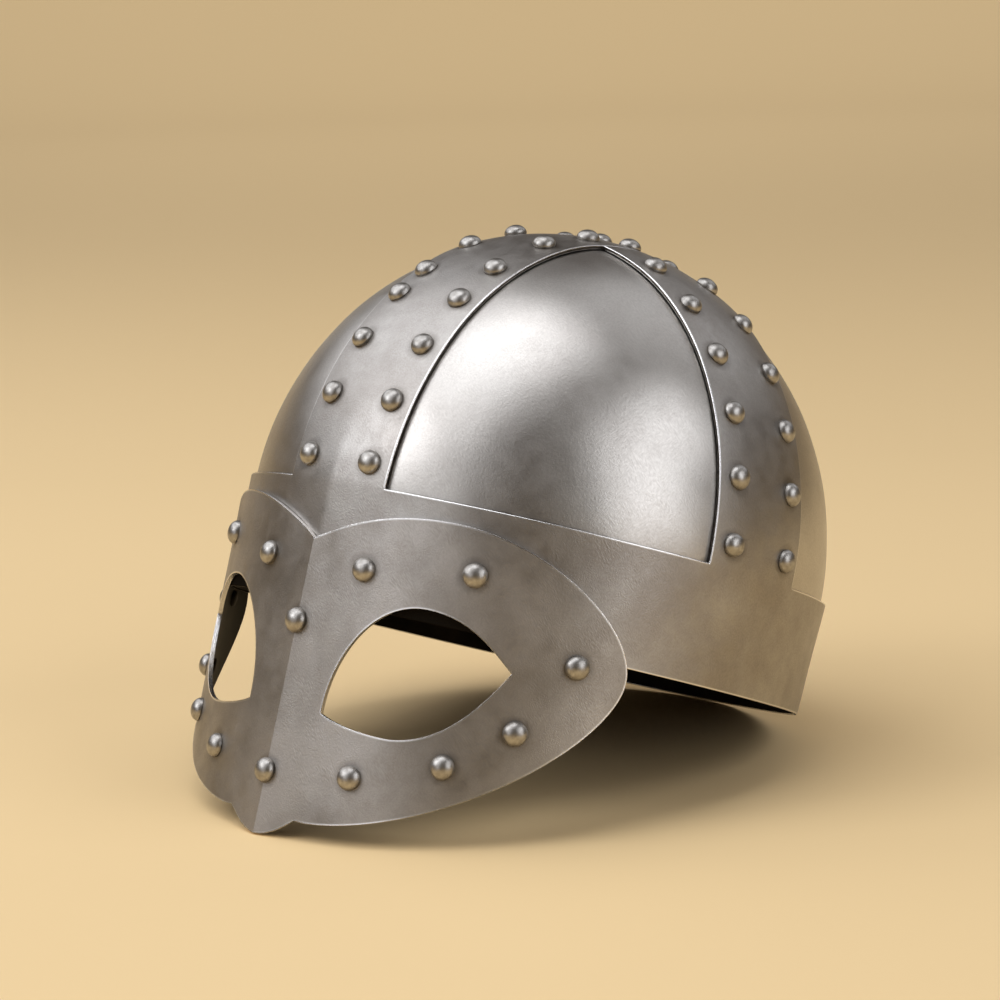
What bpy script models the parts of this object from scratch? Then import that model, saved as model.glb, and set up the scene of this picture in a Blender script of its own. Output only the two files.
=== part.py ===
"""A spectacle helmet of riveted steel: four plates under a brow band, a crest band and two side bands, with a
spectacle guard on the brow. Lengths are in metres. The pieces are modelled upright in the helmet's own frame, rim at
z = 0 and face towards -Y, and an empty then leans them forward until the nose tip and the back of the rim touch the
surface."""

import math
from functools import partial

import bmesh
import bpy
import numpy as np
from mathutils import Matrix, Vector

# The shell's outside, measured at the top of the brow band
HALF_WIDTH = 0.105
FRONT_DEPTH = 0.1045
REAR_DEPTH = 0.112
BROW_HEIGHT = 0.041
CROWN_HEIGHT = 0.152
BROW_TAPER = 0.0123  # share of its width that the shell loses from the brow band's top edge to the rim

# Sheets and the clearances between them
PLATE = 0.0015
GUARD_PLATE = 0.0016
BUTT_GAP = 0.0003
LAP_GAP = 0.0004

# Bands and plates
BAND_WIDTH = 0.046
PLATE_SETBACK = 0.0015  # from the helmet's middle planes to the edges of the plates under the bands
BROW_LAP = 0.012  # how far the plates reach down behind the brow band

# Rivets
RIVET_RADIUS = 0.0042
RIVET_HEIGHT = 0.0037
RIVET_SINK = 0.0007
SHANK_RADIUS = 0.0018
SHANK_CLEARANCE = 0.0003
TAIL_RADIUS = 0.003
TAIL_CROWN = 0.0021
TAIL_HEIGHT = 0.0012
ROW_OFFSET = 0.0146  # from a band's middle line to each of its two rows
CREST_START = 0.0079  # from the brow band's top edge to the first rivet, along the band
CREST_PITCH = 0.0228
SIDE_START = 0.0081
SIDE_PITCH = 0.0234
# Rivets of the crest's rows that were set early, as shares of the pitch: side of the helmet, place in the row, drift
CREST_DRIFT = {(1, 4): -0.12, (-1, 4): -0.35, (-1, 5): -0.33, (-1, 6): -0.30, (-1, 7): -0.14}

# Spectacle guard: its reach round the brow from the ridge to the temple, and its drop from the rim to the nose tip
GUARD_REACH = 0.1218
NOSE_DROP = 0.0812
RIDGE_RISE = 0.001  # how far the folded ridge stands out from the guard's round
FOLD_REACH = 0.0225  # from the ridge to where its flat flanks meet the round

# The guard's half outline, from the notch to the nose tip, and its eye opening, from the inner corner round. Each row
# is a point with its incoming and outgoing handles, across as shares of GUARD_REACH and up as shares of NOSE_DROP.
OUTLINE = (
    # across, up, in_across, in_up, out_across, out_up
    (0.0, 0.252, 0.0, 0.1, 0.148, 0.369),
    (0.443, 0.421, 0.296, 0.421, 0.706, 0.421),
    (1.0, -0.062, 1.0, 0.160, 1.0, -0.314),
    (0.177, -0.910, 0.583, -0.856, 0.163, -0.911),
    (0.134, -0.910, 0.148, -0.911, 0.090, -0.961),
    (0.0, -1.0, 0.049, -0.995, 0.0, -0.6),
)
EYE = (
    (0.150, -0.456, 0.205, -0.486, 0.144, -0.197),
    (0.411, 0.053, 0.263, 0.053, 0.542, 0.053),
    (0.677, -0.128, 0.608, -0.049, 0.624, -0.271),
    (0.353, -0.499, 0.525, -0.499, 0.279, -0.499),
)
# The guard's rivets in the same shares. Those of the ridge are single, the others stand on both sides.
RIDGE_RIVETS = (-0.099, -0.734)
GUARD_RIVETS = (
    # across, up
    (0.195, 0.160),
    (0.520, 0.230),
    (0.851, -0.044),
    (0.723, -0.361),
    (0.547, -0.559),
    (0.287, -0.687),
)

# Mesh fineness
BAND_COLUMNS = 4
CREST_ROWS = 30
SIDE_ROWS = 13
BROW_COLUMNS = 26
PLATE_COLUMNS = 10
PLATE_ROWS = 9
RIVET_SIDES = 10
HEAD_STEPS = 3
CURVE_STEPS = 6
GUARD_COLUMNS = 10

CROWN_RISE = CROWN_HEIGHT - BROW_HEIGHT
HALF_BAND = BAND_WIDTH / 2
HOLE_RADIUS = SHANK_RADIUS + SHANK_CLEARANCE
GUARD_OUTSET = LAP_GAP + GUARD_PLATE  # of the guard's outer face from the brow band
WELD = 1e-6
ARC_SAMPLES = 400

STEEL = {
    # name: linear colour, roughness
    "band_steel": ((0.33, 0.32, 0.31), 0.38),
    "plate_steel": ((0.42, 0.41, 0.39), 0.34),
    "guard_steel": ((0.36, 0.34, 0.32), 0.42),
    "rivet_steel": ((0.40, 0.38, 0.36), 0.30),
}


def clear_scene():
    for obj in list(bpy.data.objects):
        bpy.data.objects.remove(obj, do_unlink=True)


def new_collection(name):
    collection = bpy.data.collections.new(name)
    bpy.context.scene.collection.children.link(collection)
    return collection


def steel(name):
    """The Principled material of one kind of piece."""
    material = bpy.data.materials.get(name)
    if material is None:
        color, roughness = STEEL[name]
        material = bpy.data.materials.new(name)
        material.use_nodes = True
        shader = material.node_tree.nodes["Principled BSDF"]
        shader.inputs["Base Color"].default_value = (*color, 1.0)
        shader.inputs["Roughness"].default_value = roughness
        shader.inputs["Metallic"].default_value = 1.0
    return material


def add_piece(name, bm, material, collection, parent):
    """An object of the bmesh, shaded smooth but for its open edges."""
    for face in bm.faces:
        face.smooth = True
    for edge in bm.edges:
        edge.smooth = not edge.is_boundary
    mesh = bpy.data.meshes.new(name)
    bm.to_mesh(mesh)
    bm.free()
    mesh.materials.append(steel(material))
    obj = bpy.data.objects.new(name, mesh)
    obj.parent = parent
    collection.objects.link(obj)
    return obj


def add_cutter(name, bm, collection, parent):
    """A helper that only Boolean modifiers read."""
    cutter = add_piece(name, bm, "rivet_steel", collection, parent)
    cutter.hide_render = True
    cutter.display_type = "WIRE"
    return cutter


def add_solidify(obj, thickness, offset):
    solid = obj.modifiers.new("Sheet", "SOLIDIFY")
    solid.thickness = thickness
    solid.offset = offset
    solid.use_even_offset = True


def add_boolean(obj, cutter, operation):
    boolean = obj.modifiers.new(operation.title(), "BOOLEAN")
    boolean.operation = operation
    boolean.object = cutter


def depth(y):
    """The shell's half length on the side of the middle plane where y lies."""
    return FRONT_DEPTH if y < 0 else REAR_DEPTH


def shell_scale(z):
    """How wide the shell is below the brow band's top edge, against its width there."""
    return 1.0 - BROW_TAPER * max(1.0 - z / BROW_HEIGHT, 0.0)


def brow_point(angle, z, inset=0.0):
    """On the upright wall: angle runs from the face round by the helmet's left, inset is measured inwards."""
    long = FRONT_DEPTH if math.cos(angle) > 0 else REAR_DEPTH
    scale = shell_scale(z)
    x = (HALF_WIDTH * scale - inset) * math.sin(angle)
    y = -(long * scale - inset) * math.cos(angle)
    return Vector((x, y, z))


def crest_point(x, turn):
    """On the dome in the plane of constant x: turn runs from 0 at the front brow over the crown to pi at the back."""
    round_share = math.sqrt(1.0 - (x / HALF_WIDTH) ** 2)
    long = FRONT_DEPTH if math.cos(turn) > 0 else REAR_DEPTH
    y = -long * round_share * math.cos(turn)
    return Vector((x, y, BROW_HEIGHT + CROWN_RISE * round_share * math.sin(turn)))


def side_point(side, y, turn):
    """On the dome in the plane of constant y: turn runs from 0 at the side brow to pi / 2 at the crown."""
    round_share = math.sqrt(1.0 - (y / depth(y)) ** 2)
    x = side * HALF_WIDTH * round_share * math.cos(turn)
    return Vector((x, y, BROW_HEIGHT + CROWN_RISE * round_share * math.sin(turn)))


def side_band_end(y):
    """The turn at which the plane of constant y meets the crest band's edge, with the gap of the butt joint."""
    round_share = math.sqrt(1.0 - (y / depth(y)) ** 2)
    return math.acos((HALF_BAND + BUTT_GAP) / (HALF_WIDTH * round_share))


def crest_drift(side, index):
    """How far the rivet at this place of the crest's row stands from its even pitch, as a share of the pitch."""
    return CREST_DRIFT.get((side, index), 0.0)


def dome_normal(point):
    """The dome's outward direction at one of its points."""
    upward = max(point.z - BROW_HEIGHT, 0.0)
    slopes = (point.x / HALF_WIDTH**2, point.y / depth(point.y) ** 2, upward / CROWN_RISE**2)
    return Vector(slopes).normalized()


def sample_arc(place, end):
    """Turns from 0 to the end, and the length that the curve place(turn) has run at each."""
    turns = np.linspace(0.0, end, ARC_SAMPLES)
    points = np.array([place(turn) for turn in turns])
    run = np.concatenate([[0.0], np.cumsum(np.linalg.norm(np.diff(points, axis=0), axis=1))])
    return turns, run


def row_places(place, end, start, pitch, drift):
    """A row of rivets along the curve place(turn), as many as fit between two margins of the start's length."""
    turns, run = sample_arc(place, end)
    places = []
    for index in range(1 + int((run[-1] - 2 * start) / pitch)):
        point = place(float(np.interp(start + (index + drift(index)) * pitch, run, turns)))
        places.append(frame_to(point, dome_normal(point)))
    return places


def map_grid(bm, columns, rows, place):
    """Adds a grid and moves each vertex to place(column value, row value)."""
    made = bmesh.ops.create_grid(bm, x_segments=len(columns) - 1, y_segments=len(rows) - 1, size=0.5)
    for vertex in made["verts"]:
        column = columns[round((vertex.co.x + 0.5) * (len(columns) - 1))]
        row = rows[round((vertex.co.y + 0.5) * (len(rows) - 1))]
        vertex.co = place(column, row)


def turn_outwards(bm):
    """Weld the grids of a sheet and turn its faces away from the helmet's inside."""
    bmesh.ops.remove_doubles(bm, verts=bm.verts, dist=WELD)
    bm.normal_update()
    inside = Vector((0.0, 0.0, BROW_HEIGHT))
    inward = [face for face in bm.faces if face.normal.dot(face.calc_center_median() - inside) < 0]
    bmesh.ops.reverse_faces(bm, faces=inward)


def frame_to(point, normal):
    """The matrix that puts a local origin at the point with its Z axis along the normal."""
    return Matrix.Translation(point) @ normal.to_track_quat("Z", "Y").to_matrix().to_4x4()


def head_mesh():
    """One rivet head with a short foot that sinks into its band."""
    bm = bmesh.new()
    size = Matrix.Diagonal((RIVET_RADIUS, RIVET_RADIUS, RIVET_HEIGHT, 1.0))
    bmesh.ops.create_uvsphere(bm, u_segments=RIVET_SIDES, v_segments=2 * HEAD_STEPS, radius=1.0, matrix=size)
    everything = bm.verts[:] + bm.edges[:] + bm.faces[:]
    foot = (0.0, 0.0, -RIVET_SINK)
    bmesh.ops.bisect_plane(bm, geom=everything, plane_co=foot, plane_no=(0, 0, 1), clear_inner=True)
    bmesh.ops.holes_fill(bm, edges=bm.edges, sides=RIVET_SIDES)
    bmesh.ops.recalc_face_normals(bm, faces=bm.faces)
    mesh = bpy.data.meshes.new("rivet_head")
    bm.to_mesh(mesh)
    bm.free()
    return mesh


def rivet_heads(places):
    """All heads of one band, to be joined into it."""
    mesh = head_mesh()
    bm = bmesh.new()
    for place in places:
        first = len(bm.verts)
        bm.from_mesh(mesh)
        bm.verts.ensure_lookup_table()
        bmesh.ops.transform(bm, matrix=place, verts=bm.verts[first:])
    bpy.data.meshes.remove(mesh)
    return bm


def crest_rivet_places():
    places = []
    for side in (1, -1):
        row = partial(crest_point, side * ROW_OFFSET)
        drift = partial(crest_drift, side)
        places += row_places(row, math.pi, CREST_START, CREST_PITCH, drift)
    crown = Vector((0.0, 0.0, CROWN_HEIGHT))
    places.append(frame_to(crown, dome_normal(crown)))
    return places


def side_rivet_places(side):
    places = []
    for y in (-ROW_OFFSET, ROW_OFFSET):
        row = partial(side_point, side, y)
        places += row_places(row, side_band_end(y), SIDE_START, SIDE_PITCH, lambda index: 0.0)
    return places


def make_band_frame(parts, cutters, helmet):
    """The brow band with the crest band welded to it, one sheet, and the crest's rivet heads."""
    across = [HALF_BAND * (2.0 * step / BAND_COLUMNS - 1.0) for step in range(BAND_COLUMNS + 1)]
    edge = math.asin(HALF_BAND / HALF_WIDTH)
    front = [math.asin(x / HALF_WIDTH) for x in across]
    left = [edge + (math.pi - 2 * edge) * step / BROW_COLUMNS for step in range(1, BROW_COLUMNS)]
    rear = [math.pi - angle for angle in reversed(front)]
    right = [math.pi + angle for angle in left]
    bm = bmesh.new()
    map_grid(bm, front + left + rear + right + [2 * math.pi - edge], [0.0, BROW_HEIGHT], brow_point)
    turns = [math.pi * step / CREST_ROWS for step in range(CREST_ROWS + 1)]
    map_grid(bm, across, turns, crest_point)
    turn_outwards(bm)
    frame = add_piece("brow_and_crest_band", bm, "band_steel", parts, helmet)
    add_solidify(frame, PLATE, -1.0)
    heads = rivet_heads(crest_rivet_places())
    add_boolean(frame, add_cutter("crest_rivet_heads", heads, cutters, helmet), "UNION")
    return frame


def make_side_band(side, parts, cutters, helmet):
    """One band from the brow band's top edge to the crest band's edge, butted to both, and its rivet heads."""
    across = [HALF_BAND * (2.0 * step / BAND_COLUMNS - 1.0) for step in range(BAND_COLUMNS + 1)]
    shares = [step / SIDE_ROWS for step in range(SIDE_ROWS + 1)]

    def place(y, share):
        low = math.asin(BUTT_GAP / CROWN_RISE)
        return side_point(side, y, low + (side_band_end(y) - low) * share)

    word = "left" if side > 0 else "right"
    bm = bmesh.new()
    map_grid(bm, across, shares, place)
    turn_outwards(bm)
    band = add_piece(f"side_band_{word}", bm, "band_steel", parts, helmet)
    add_solidify(band, PLATE, -1.0)
    heads = rivet_heads(side_rivet_places(side))
    add_boolean(band, add_cutter(f"side_{word}_rivet_heads", heads, cutters, helmet), "UNION")


def make_plate(side, end, parts, helmet):
    """One of the four plates behind the bands: a quarter of the dome with a skirt behind the brow band."""
    inset = PLATE + LAP_GAP
    long = (FRONT_DEPTH if end < 0 else REAR_DEPTH) - inset

    def place(angle, turn):
        if turn < 0:
            skirt = brow_point(angle if end < 0 else math.pi - angle, BROW_HEIGHT - BROW_LAP, inset)
            return Vector((side * skirt.x, skirt.y, skirt.z))
        x = side * (HALF_WIDTH - inset) * math.cos(turn) * math.sin(angle)
        y = end * long * math.cos(turn) * math.cos(angle)
        return Vector((x, y, BROW_HEIGHT + (CROWN_RISE - inset) * math.sin(turn)))

    angles = [0.5 * math.pi * step / PLATE_COLUMNS for step in range(PLATE_COLUMNS + 1)]
    turns = [-1.0] + [0.5 * math.pi * step / PLATE_ROWS for step in range(PLATE_ROWS + 1)]
    bm = bmesh.new()
    map_grid(bm, angles, turns, place)
    turn_outwards(bm)
    for plane, normal in (((side * PLATE_SETBACK, 0, 0), (side, 0, 0)), ((0, end * PLATE_SETBACK, 0), (0, end, 0))):
        everything = bm.verts[:] + bm.edges[:] + bm.faces[:]
        bmesh.ops.bisect_plane(bm, geom=everything, plane_co=plane, plane_no=normal, clear_inner=True)
    words = ("front" if end < 0 else "rear", "left" if side > 0 else "right")
    plate = add_piece(f"plate_{words[0]}_{words[1]}", bm, "plate_steel", parts, helmet)
    add_solidify(plate, PLATE, -1.0)


def guard_angle(reach):
    """The brow angle at which the guard's outer face has run this far round from the middle."""
    turns, run = sample_arc(lambda angle: brow_point(angle, BROW_HEIGHT, -GUARD_OUTSET), math.pi / 2)
    return float(np.interp(reach, run, turns))


def guard_point(reach, z, outset):
    """On the guard: round the brow past the fold, and flat from the fold to the ridge. outset is from the brow."""
    flank = min(abs(reach) / FOLD_REACH, 1.0)
    angle = guard_angle(max(abs(reach), FOLD_REACH))
    point = brow_point(angle, z, -outset)
    ridge = -(FRONT_DEPTH * shell_scale(z) + outset + RIDGE_RISE)
    y = ridge + (point.y - ridge) * flank
    return Vector((math.copysign(point.x * flank, reach), y, z))


def guard_frame(across, up):
    """Where a rivet stands on the guard's outer face."""
    reach = across * GUARD_REACH
    z = up * NOSE_DROP
    point = guard_point(reach, z, GUARD_OUTSET)
    if across == 0:
        return frame_to(point, Vector((0.0, -1.0, 0.0)))
    nearer = guard_point(reach - SHANK_RADIUS, z, GUARD_OUTSET)
    further = guard_point(reach + SHANK_RADIUS, z, GUARD_OUTSET)
    return frame_to(point, (further - nearer).cross(Vector((0.0, 0.0, 1.0))).normalized())


def guard_half_sheet():
    """The guard's flat half with its eye opening, as one open mesh with across in X and up in Y."""
    curve = bpy.data.curves.new("guard_outline", "CURVE")
    curve.dimensions = "2D"
    curve.fill_mode = "BOTH"
    curve.resolution_u = CURVE_STEPS
    for rows in (OUTLINE, EYE):
        spline = curve.splines.new("BEZIER")
        spline.bezier_points.add(len(rows) - 1)
        spline.use_cyclic_u = True
        for point, (across, up, in_across, in_up, out_across, out_up) in zip(spline.bezier_points, rows):
            point.handle_left_type = point.handle_right_type = "FREE"
            point.co = (across * GUARD_REACH, up * NOSE_DROP, 0.0)
            point.handle_left = (in_across * GUARD_REACH, in_up * NOSE_DROP, 0.0)
            point.handle_right = (out_across * GUARD_REACH, out_up * NOSE_DROP, 0.0)
    holder = bpy.data.objects.new("guard_outline", curve)
    bpy.context.scene.collection.objects.link(holder)
    graph = bpy.context.evaluated_depsgraph_get()
    mesh = bpy.data.meshes.new_from_object(holder.evaluated_get(graph))
    bpy.data.objects.remove(holder, do_unlink=True)
    bm = bmesh.new()
    bm.from_mesh(mesh)
    bpy.data.meshes.remove(mesh)
    return bm


def bend_guard(bm):
    """Cut the flat half into upright strips and lay it round the brow, each vertex on the guard's inner face."""
    bmesh.ops.remove_doubles(bm, verts=bm.verts, dist=WELD)
    strip = (GUARD_REACH - FOLD_REACH) / GUARD_COLUMNS
    for step in range(GUARD_COLUMNS):
        everything = bm.verts[:] + bm.edges[:] + bm.faces[:]
        place = (FOLD_REACH + strip * step, 0.0, 0.0)
        cut = bmesh.ops.bisect_plane(bm, geom=everything, plane_co=place, plane_no=(1, 0, 0), dist=WELD)
        for item in cut["geom_cut"]:
            if isinstance(item, bmesh.types.BMEdge):
                item.seam = True
    bmesh.ops.dissolve_limit(bm, angle_limit=math.radians(1), verts=bm.verts, edges=bm.edges, delimit={"SEAM"})
    for vertex in bm.verts:
        vertex.co = guard_point(vertex.co.x, vertex.co.y, LAP_GAP)
    bm.normal_update()
    inward = [face for face in bm.faces if face.normal.y > 0]
    bmesh.ops.reverse_faces(bm, faces=inward)


def guard_rivet_rows():
    """The name, the place and the grip of each of the guard's rivets: all that lies between its head and its tail."""
    rows = []
    for index, up in enumerate(RIDGE_RIVETS):
        ridge = guard_point(0.0, up * NOSE_DROP, 0.0)
        flank = guard_point(TAIL_RADIUS, up * NOSE_DROP, 0.0)
        rows.append((f"nose_rivet_{index + 1}", guard_frame(0.0, up), GUARD_PLATE + flank.y - ridge.y))
    for word, side in (("left", 1), ("right", -1)):
        for index, (across, up) in enumerate(GUARD_RIVETS):
            grip = GUARD_PLATE + (LAP_GAP + PLATE if up > 0 else 0.0)
            rows.append((f"guard_rivet_{word}_{index + 1}", guard_frame(side * across, up), grip))
    return rows


def make_guard(frame, parts, cutters, helmet):
    """The spectacle guard, drilled for its rivets, with the brow band drilled behind the upper ones."""
    bm = guard_half_sheet()
    bend_guard(bm)
    guard = add_piece("spectacle_guard", bm, "guard_steel", parts, helmet)
    mirror = guard.modifiers.new("Mirror", "MIRROR")
    mirror.merge_threshold = WELD
    add_solidify(guard, GUARD_PLATE, 1.0)
    drills = {guard: bmesh.new(), frame: bmesh.new()}
    for _, place, grip in guard_rivet_rows():
        for target, bm in drills.items():
            if target is guard or grip > GUARD_PLATE + LAP_GAP + PLATE / 2:
                hole = {"radius1": HOLE_RADIUS, "radius2": HOLE_RADIUS, "depth": 4 * grip, "cap_ends": True}
                bmesh.ops.create_cone(bm, segments=RIVET_SIDES, matrix=place, **hole)
    for target, bm in drills.items():
        add_boolean(target, add_cutter(f"{target.name}_drill", bm, cutters, helmet), "DIFFERENCE")


def rivet_profile(grip):
    """A rivet's half section down its outer side. Its local origin is on the face that its head sits on."""
    bottom = -grip - BUTT_GAP
    head = []
    for step in range(HEAD_STEPS + 1):
        angle = 0.5 * math.pi * step / HEAD_STEPS
        head.append((RIVET_RADIUS * math.sin(angle), BUTT_GAP + RIVET_HEIGHT * math.cos(angle)))
    shank = [(SHANK_RADIUS, BUTT_GAP), (SHANK_RADIUS, bottom)]
    tail = [(TAIL_RADIUS, bottom), (TAIL_CROWN, bottom - TAIL_HEIGHT), (0.0, bottom - TAIL_HEIGHT)]
    return head + shank + tail


def make_guard_rivets(parts, helmet):
    """Turned rivets in the guard's holes."""
    for name, place, grip in guard_rivet_rows():
        profile = rivet_profile(grip)
        mesh = bpy.data.meshes.new(name)
        edges = [(index, index + 1) for index in range(len(profile) - 1)]
        mesh.from_pydata([(x, 0.0, z) for x, z in profile], edges, [])
        mesh.materials.append(steel("rivet_steel"))
        rivet = bpy.data.objects.new(name, mesh)
        rivet.parent = helmet
        rivet.matrix_local = place
        parts.objects.link(rivet)
        screw = rivet.modifiers.new("Turn", "SCREW")
        screw.steps = screw.render_steps = RIVET_SIDES
        screw.use_merge_vertices = True
        screw.merge_threshold = WELD


def lean_forward(helmet):
    """Tilt the helmet until the nose tip's inner edge is as low as the rim's outer edge at the back."""
    tip = FRONT_DEPTH * shell_scale(-NOSE_DROP) + LAP_GAP + RIDGE_RISE
    back = REAR_DEPTH * shell_scale(0.0)
    helmet.rotation_euler.x = -math.atan(NOSE_DROP / (tip + back))


def stand_on_origin(helmet, parts):
    """Move the tilted helmet so that its bounding box stands centred on the origin."""
    bpy.context.view_layer.update()
    graph = bpy.context.evaluated_depsgraph_get()
    corners = []
    for obj in parts.objects:
        evaluated = obj.evaluated_get(graph)
        mesh = evaluated.to_mesh()
        corners += [obj.matrix_world @ vertex.co for vertex in mesh.vertices]
        evaluated.to_mesh_clear()
    corners = np.array(corners)
    low = corners.min(axis=0)
    high = corners.max(axis=0)
    helmet.location = (-(low[0] + high[0]) / 2, -(low[1] + high[1]) / 2, -low[2])


def main():
    clear_scene()
    parts = new_collection("spectacle_helmet")
    cutters = new_collection("cutters")
    helmet = bpy.data.objects.new("helmet_pose", None)
    bpy.context.scene.collection.objects.link(helmet)
    frame = make_band_frame(parts, cutters, helmet)
    for side in (1, -1):
        make_side_band(side, parts, cutters, helmet)
        for end in (-1, 1):
            make_plate(side, end, parts, helmet)
    make_guard(frame, parts, cutters, helmet)
    make_guard_rivets(parts, helmet)
    lean_forward(helmet)
    stand_on_origin(helmet, parts)


main()
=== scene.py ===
# %% [markdown]
# # A spectacle helmet of riveted steel
# A helmet of this kind is a puzzle of thin sheets: four domed plates lie behind a frame of bands, and a
# guard like a pair of goggles hangs from the brow. This lesson works out each sheet as a surface with numpy,
# gives it a thickness and a worn edge, and then mixes its steel.

# %% The imported model
import math

import bpy
import numpy as np
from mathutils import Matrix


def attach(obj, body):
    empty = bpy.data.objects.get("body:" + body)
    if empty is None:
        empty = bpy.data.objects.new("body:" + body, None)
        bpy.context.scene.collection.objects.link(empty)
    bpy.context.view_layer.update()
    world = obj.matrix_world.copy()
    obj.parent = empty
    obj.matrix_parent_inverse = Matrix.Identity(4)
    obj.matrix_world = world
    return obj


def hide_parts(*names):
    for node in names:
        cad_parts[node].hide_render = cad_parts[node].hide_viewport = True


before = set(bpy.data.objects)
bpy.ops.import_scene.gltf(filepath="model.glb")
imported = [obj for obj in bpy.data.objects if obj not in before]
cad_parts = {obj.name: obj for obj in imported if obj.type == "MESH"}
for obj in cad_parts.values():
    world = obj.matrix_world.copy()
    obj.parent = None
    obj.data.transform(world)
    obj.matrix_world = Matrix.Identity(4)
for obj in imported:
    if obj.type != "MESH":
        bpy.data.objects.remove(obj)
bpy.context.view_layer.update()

# %% [markdown]
# ## Sizes
# The helmet is round in plan, a little longer behind the ears than in front of them, and its dome is half
# of an ellipsoid on an almost upright brow. All lengths are metres, in the helmet's own upright frame: rim
# at z = 0 and face towards -Y. Every later cell works from these values.

# %% The sizes of shell, guard and rivets
MM = 0.001

HALF_WIDTH = 0.105
FRONT_DEPTH = 0.1045
REAR_DEPTH = 0.112
BROW_HEIGHT = 0.041
CROWN_RISE = 0.111
BROW_TAPER = 0.0123
SHEET = 0.0015
LAP_GAP = 0.0004
BUTT_GAP = 0.0003
HALF_BAND = 0.023

GUARD_SHEET = 0.0016
GUARD_REACH = 0.1218
NOSE_DROP = 0.0812
RIDGE_RISE = 0.001
CREASE_REACH_NOTCH = 0.006
CREASE_REACH_TIP = 0.0195

RIVET_RADIUS = 0.0042
RIVET_HEIGHT = 0.0035

print("brow in mm, width and length:", round(2000 * HALF_WIDTH), round(1000 * (FRONT_DEPTH + REAR_DEPTH), 1))

# %% [markdown]
# ## How the helmet stands
# It rests on the tip of the nose guard and on the back of the rim, so the whole helmet leans forward. The
# objects could be rotated, but then their patterns would turn as well. So everything is worked out upright
# and turned at the very end, in the mesh itself, and each object stays at the origin.

# %% From the upright frame to the ground
REAR_FOOT = REAR_DEPTH * (1.0 - BROW_TAPER)
NOSE_FOOT = FRONT_DEPTH * (1.0 - BROW_TAPER * (1.0 + NOSE_DROP / BROW_HEIGHT)) + LAP_GAP + RIDGE_RISE
LEAN = math.atan(NOSE_DROP / (NOSE_FOOT + REAR_FOOT))
# puts both feet on the ground and centres the box
STAND = np.array((0.0, -0.00159, 0.039455))


def lean(points):
    """Turn the points about X, with y' = y cos + z sin and z' = z cos - y sin of the lean, then lift them."""
    x, y, z = np.moveaxis(points, -1, 0)
    forward = y * math.cos(LEAN) + z * math.sin(LEAN)
    up = z * math.cos(LEAN) - y * math.sin(LEAN)
    return np.stack((x, forward, up), axis=-1) + STAND


print("lean in degrees:", round(math.degrees(LEAN), 2))

# %% [markdown]
# ## The shell as formulas
# The real dome is raised from several pieces that share one round. It could be sculpted, but then the bands
# would never lie true on the plates. So one pair of formulas gives every sheet: the brow is a wall with an
# almost circular plan that narrows towards the rim, and the dome is an ellipsoid on top of it. The outward
# direction is the slope of the same formula.

# %% Points and directions on the shell


def half_length(front):
    """The half length of the plan, shorter on the side of the face."""
    return np.where(front, FRONT_DEPTH, REAR_DEPTH)


def taper(z):
    """Width as a share of the width at the brow's top edge: 1 - taper x (1 - z / brow height), 1 above it."""
    return 1.0 - BROW_TAPER * np.maximum(1.0 - z / BROW_HEIGHT, 0.0)


def brow_wall(angle, z, inset=0.0):
    """x = (tapered half width - inset) sin(angle), y = -(tapered half length - inset) cos(angle). The angle
    runs from the face round by the wearer's left."""
    length = half_length(np.cos(angle) > 0.0)
    x = (HALF_WIDTH * taper(z) - inset) * np.sin(angle)
    y = -(length * taper(z) - inset) * np.cos(angle)
    return np.stack(np.broadcast_arrays(x, y, z), axis=-1)


def crest_arc(x, turn):
    """The dome cut at constant x: an ellipse shrunk by sqrt(1 - (x / half width)^2). The turn runs from the
    face over the crown to the back."""
    share = np.sqrt(1.0 - (x / HALF_WIDTH) ** 2)
    y = -half_length(np.cos(turn) > 0.0) * share * np.cos(turn)
    z = BROW_HEIGHT + CROWN_RISE * share * np.sin(turn)
    return np.stack(np.broadcast_arrays(x, y, z), axis=-1)


def side_arc(y, turn, side):
    """The dome cut at constant y: an ellipse shrunk by sqrt(1 - (y / half length)^2). The turn runs from the
    ear to the crown, and side is 1 on the wearer's left and -1 on the right."""
    share = np.sqrt(1.0 - (y / half_length(y < 0.0)) ** 2)
    x = side * HALF_WIDTH * share * np.cos(turn)
    z = BROW_HEIGHT + CROWN_RISE * share * np.sin(turn)
    return np.stack(np.broadcast_arrays(x, y, z), axis=-1)


def outward(points):
    """The outward direction: (x / a^2, y / b^2, height above the brow / c^2), made one long."""
    x, y, z = np.moveaxis(points, -1, 0)
    rise = np.maximum(z - BROW_HEIGHT, 0.0)
    slope = np.stack((x / HALF_WIDTH**2, y / half_length(y < 0.0) ** 2, rise / CROWN_RISE**2), axis=-1)
    return slope / np.linalg.norm(slope, axis=-1, keepdims=True)


crown = np.array([(0.0, 0.0, BROW_HEIGHT + CROWN_RISE)])
print("direction at the crown:", outward(crown)[0].tolist())

# %% [markdown]
# ## Steel that a hammer raised
# Hand-raised steel is never quite even. Random dents would look beaten, so a few long, shallow waves push
# the surface in and out by a tenth of a millimetre or so, which is enough to bend the reflections. The brow
# also has a soft keel over the nose, where the guard's ridge points up to the crest.

# %% Shallow waves, and the keel
WAVES = (
    # crests per metre along x, y and z, phase, height in mm
    (17.0, -9.0, 13.0, 0.4, 0.07),
    (-11.0, 21.0, 7.0, 2.1, 0.06),
    (8.0, 14.0, -24.0, 4.0, 0.05),
    (33.0, 18.0, 27.0, 1.3, 0.025),
    (-29.0, 35.0, -16.0, 5.2, 0.02),
)
KEEL_HEIGHT = 0.0007
KEEL_HALF_WIDTH = 0.016
KEEL_FADE = 0.034
KEEL_POWER = 1.5


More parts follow.
